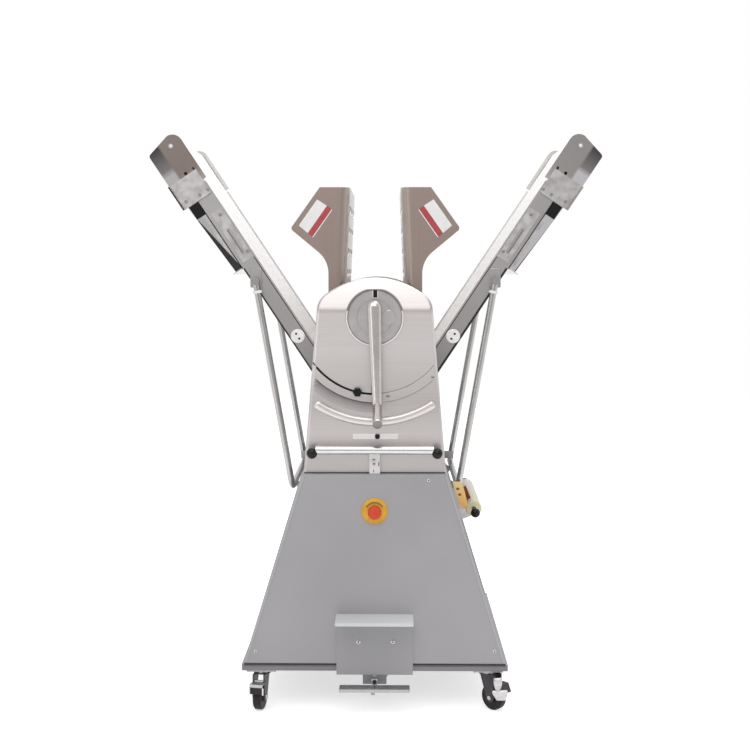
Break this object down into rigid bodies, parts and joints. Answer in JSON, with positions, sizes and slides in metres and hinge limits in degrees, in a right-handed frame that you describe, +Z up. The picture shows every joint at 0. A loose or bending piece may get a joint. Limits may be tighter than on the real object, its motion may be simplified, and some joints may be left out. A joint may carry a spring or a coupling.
{
  "type": "electric dough sheeter",
  "caption": "Floor-standing electric dough sheeter: domed steel head with gap lever on a flared wheeled base, its belt tables and sheet guards folded up in a V.",
  "frame": {"origin": "on the floor under the middle of the machine's bounding box", "axes": "+Z up, +X along the conveyor to the operator's right, +Y away from the operator"},
  "size_m": [1.3854, 0.984, 1.75],
  "materials": {
    "painted_grey": "smooth satin grey paint",
    "frame_steel": "grey painted frame steel",
    "brushed_steel": "brushed stainless sheet",
    "guard_steel": "taupe tinted satin sheet steel",
    "rail_steel": "satin rolled rail",
    "bracket_steel": "bright satin plate",
    "chrome": "polished chrome",
    "ground_steel": "ground and hard chromed roller",
    "cast_alloy": "satin cast alloy",
    "belt_white": "white woven conveyor belt",
    "black_plastic": "glossy black knob plastic",
    "black_rubber": "black rubber drive belt",
    "tyre_dark": "dark brown rubber wheel",
    "zinc": "bright zinc plated pressing",
    "estop_yellow": "yellow plastic collar",
    "estop_red": "red plastic button",
    "scraper_plastic": "white food plastic",
    "motor_alloy": "painted alloy motor casing",
    "pulley_steel": "turned steel",
    "pin_cream": "cream plastic rolling pin",
    "grey_nylon": "dark nylon cable gland"
  },
  "bodies": {
    "base": {"base_pan": "frame_steel", "base_posts": "frame_steel", "base_top": "brushed_steel", "front_panel": "painted_grey", "rear_panel": "painted_grey", "side_panels": "painted_grey", "pedal_guard": "painted_grey", "estop_collar": "estop_yellow", "cable_gland": "grey_nylon", "pin_cradle": "bracket_steel", "strut_seats": "bracket_steel", "motor": "motor_alloy", "drive_belt": "black_rubber", "caster_plates": "zinc", "head_side_plates": "brushed_steel", "front_cover": "brushed_steel", "rear_cover": "brushed_steel", "tie_bars": "chrome", "dial_plate": "cast_alloy", "lower_bearings": "pulley_steel", "lower_scrapers": "scraper_plastic"},
    "motor_pulley": {"motor_pulley": "pulley_steel"},
    "lower_roller": {"lower_roller": "ground_steel"},
    "carriage": {"upper_bearing_blocks": "pulley_steel"},
    "upper_roller": {"upper_roller": "ground_steel"},
    "lever": {"lever": "cast_alloy", "lever_shaft": "pulley_steel"},
    "stop_knob": {"stop_knob": "black_plastic"},
    "handlebar": {"handlebar": "chrome", "handlebar_balls": "black_plastic"},
    "control_link": {"control_link": "zinc"},
    "foot_pedal": {"foot_pedal": "zinc"},
    "estop_button": {"estop_button": "estop_red"},
    "rolling_pin": {"rolling_pin": "pin_cream"},
    "left_table": {"left_table_frame": "rail_steel", "left_belt": "belt_white", "left_tail_brackets": "bracket_steel", "left_end_tray": "bracket_steel"},
    "left_drive_roller": {"left_drive_roller": "cast_alloy"},
    "left_tail_roller": {"left_tail_roller": "cast_alloy"},
    "left_strut": {"left_strut": "chrome"},
    "left_guard": {"left_guard": "guard_steel"},
    "right_table": {"right_table_frame": "rail_steel", "right_belt": "belt_white", "right_tail_brackets": "bracket_steel", "right_end_tray": "bracket_steel"},
    "right_drive_roller": {"right_drive_roller": "cast_alloy"},
    "right_tail_roller": {"right_tail_roller": "cast_alloy"},
    "right_strut": {"right_strut": "chrome"},
    "right_guard": {"right_guard": "guard_steel"},
    "fork_front_left": {"caster_fork_front_left": "zinc"},
    "wheel_front_left": {"caster_wheel_front_left": "tyre_dark"},
    "brake_front_left": {"caster_brake_front_left": "zinc"},
    "fork_front_right": {"caster_fork_front_right": "zinc"},
    "wheel_front_right": {"caster_wheel_front_right": "tyre_dark"},
    "brake_front_right": {"caster_brake_front_right": "zinc"},
    "fork_rear_left": {"caster_fork_rear_left": "zinc"},
    "wheel_rear_left": {"caster_wheel_rear_left": "tyre_dark"},
    "fork_rear_right": {"caster_fork_rear_right": "zinc"},
    "wheel_rear_right": {"caster_wheel_rear_right": "tyre_dark"}
  },
  "joints": [
    {"name": "lower_roller_spin", "type": "hinge", "parent": "base", "child": "lower_roller", "pos_m": [0, 0.039, 0.882], "axis": [0, 1, 0], "continuous": true},
    {"name": "motor_spin", "type": "hinge", "parent": "base", "child": "motor_pulley", "pos_m": [0, 0.039, 0.344], "axis": [0, 1, 0], "continuous": true},
    {"name": "roller_lift", "type": "slide", "parent": "base", "child": "carriage", "axis": [0, 0, 1], "range_m": [-0.0165, 0.0175]},
    {"name": "upper_roller_spin", "type": "hinge", "parent": "carriage", "child": "upper_roller", "pos_m": [0, 0.039, 0.987], "axis": [0, 1, 0], "continuous": true},
    {"name": "gap_lever_turn", "type": "hinge", "parent": "base", "child": "lever", "pos_m": [0, 0.039, 1.195], "axis": [0, -1, 0], "range_deg": [-48, 48]},
    {"name": "stop_knob_slide", "type": "hinge", "parent": "base", "child": "stop_knob", "pos_m": [0, 0.039, 1.195], "axis": [0, 1, 0], "range_deg": [-5, 31]},
    {"name": "handlebar_rock", "type": "hinge", "parent": "base", "child": "handlebar", "pos_m": [0, 0.039, 0.792], "axis": [0, -1, 0], "range_deg": [-8, 8], "stiffness_Nm_per_rad": 14},
    {"name": "pedal_rock", "type": "hinge", "parent": "base", "child": "foot_pedal", "pos_m": [0, 0.039, 0.102], "axis": [0, -1, 0], "range_deg": [-8.2, 8.2]},
    {"name": "link_move", "type": "slide", "parent": "base", "child": "control_link", "axis": [0, 0, 1], "range_m": [-0.0046, 0.0046]},
    {"name": "estop_press", "type": "slide", "parent": "base", "child": "estop_button", "axis": [0, 1, 0], "range_m": [0, 0.005], "stiffness_N_per_m": 900},
    {"name": "pin_lift", "type": "slide", "parent": "base", "child": "rolling_pin", "axis": [0.766, 0, 0.6428], "range_m": [0, 0.12]},
    {"name": "left_table_fold", "type": "hinge", "parent": "base", "child": "left_table", "pos_m": [-0.085, 0.039, 0.898], "axis": [0, -1, 0], "range_deg": [0, 56.45]},
    {"name": "left_strut_swing", "type": "hinge", "parent": "left_table", "child": "left_strut", "pos_m": [-0.36885, 0.039, 1.30252], "axis": [0, 1, 0], "range_deg": [0, 66.46]},
    {"name": "left_guard_swing", "type": "hinge", "parent": "base", "child": "left_guard", "pos_m": [-0.128, 0.039, 1.104], "axis": [0, -1, 0], "range_deg": [0, 93.4]},
    {"name": "left_drive_spin", "type": "hinge", "parent": "base", "child": "left_drive_roller", "pos_m": [-0.085, 0.039, 0.898], "axis": [0, 1, 0], "continuous": true},
    {"name": "left_tail_spin", "type": "hinge", "parent": "left_table", "child": "left_tail_roller", "pos_m": [-0.62661, 0.039, 1.71474], "axis": [0, 1, 0], "continuous": true},
    {"name": "right_table_fold", "type": "hinge", "parent": "base", "child": "right_table", "pos_m": [0.085, 0.039, 0.898], "axis": [0, 1, 0], "range_deg": [0, 56.45]},
    {"name": "right_strut_swing", "type": "hinge", "parent": "right_table", "child": "right_strut", "pos_m": [0.36885, 0.039, 1.30252], "axis": [0, -1, 0], "range_deg": [0, 66.46]},
    {"name": "right_guard_swing", "type": "hinge", "parent": "base", "child": "right_guard", "pos_m": [0.128, 0.039, 1.104], "axis": [0, 1, 0], "range_deg": [0, 93.4]},
    {"name": "right_drive_spin", "type": "hinge", "parent": "base", "child": "right_drive_roller", "pos_m": [0.085, 0.039, 0.898], "axis": [0, 1, 0], "continuous": true},
    {"name": "right_tail_spin", "type": "hinge", "parent": "right_table", "child": "right_tail_roller", "pos_m": [0.62661, 0.039, 1.71474], "axis": [0, 1, 0], "continuous": true},
    {"name": "front_left_swivel", "type": "hinge", "parent": "base", "child": "fork_front_left", "pos_m": [-0.345, -0.356, 0.114], "axis": [0, 0, 1], "continuous": true},
    {"name": "front_left_roll", "type": "hinge", "parent": "fork_front_left", "child": "wheel_front_left", "pos_m": [-0.34996, -0.38152, 0.04], "axis": [-0.9816, 0.1908, 0], "continuous": true},
    {"name": "front_left_brake", "type": "hinge", "parent": "fork_front_left", "child": "brake_front_left", "pos_m": [-0.3513, -0.38839, 0.088], "axis": [0.9816, -0.1908, 0], "range_deg": [0, 12]},
    {"name": "front_right_swivel", "type": "hinge", "parent": "base", "child": "fork_front_right", "pos_m": [0.345, -0.356, 0.114], "axis": [0, 0, 1], "continuous": true},
    {"name": "front_right_roll", "type": "hinge", "parent": "fork_front_right", "child": "wheel_front_right", "pos_m": [0.36339, -0.37439, 0.04], "axis": [-0.7071, -0.7071, 0], "continuous": true},
    {"name": "front_right_brake", "type": "hinge", "parent": "fork_front_right", "child": "brake_front_right", "pos_m": [0.36834, -0.37933, 0.088], "axis": [0.7071, 0.7071, 0], "range_deg": [0, 12]},
    {"name": "rear_left_swivel", "type": "hinge", "parent": "base", "child": "fork_rear_left", "pos_m": [-0.345, 0.434, 0.114], "axis": [0, 0, 1], "continuous": true},
    {"name": "rear_left_roll", "type": "hinge", "parent": "fork_rear_left", "child": "wheel_rear_left", "pos_m": [-0.358, 0.41148, 0.04], "axis": [-0.866, 0.5, 0], "continuous": true},
    {"name": "rear_right_swivel", "type": "hinge", "parent": "base", "child": "fork_rear_right", "pos_m": [0.345, 0.434, 0.114], "axis": [0, 0, 1], "continuous": true},
    {"name": "rear_right_roll", "type": "hinge", "parent": "fork_rear_right", "child": "wheel_rear_right", "pos_m": [0.35599, 0.41044, 0.04], "axis": [-0.9063, -0.4226, 0], "continuous": true}
  ],
  "couplings": [
    {"joint": "motor_spin", "follows": "lower_roller_spin", "ratio": 1.3889},
    {"joint": "upper_roller_spin", "follows": "lower_roller_spin", "ratio": -1},
    {"joint": "gap_lever_turn", "follows": "roller_lift", "rad_per_m": 47.619},
    {"joint": "pedal_rock", "follows": "handlebar_rock", "ratio": 1},
    {"joint": "link_move", "follows": "handlebar_rock", "m_per_rad": 0.032},
    {"joint": "left_strut_swing", "follows": "left_table_fold", "ratio": 1.1737},
    {"joint": "left_guard_swing", "follows": "left_table_fold", "ratio": 1.651},
    {"joint": "left_drive_spin", "follows": "lower_roller_spin", "ratio": 1.6923},
    {"joint": "left_tail_spin", "follows": "lower_roller_spin", "ratio": 1.6923},
    {"joint": "right_strut_swing", "follows": "right_table_fold", "ratio": 1.1737},
    {"joint": "right_guard_swing", "follows": "right_table_fold", "ratio": 1.651},
    {"joint": "right_drive_spin", "follows": "lower_roller_spin", "ratio": 1.6923},
    {"joint": "right_tail_spin", "follows": "lower_roller_spin", "ratio": 1.6923}
  ]
}
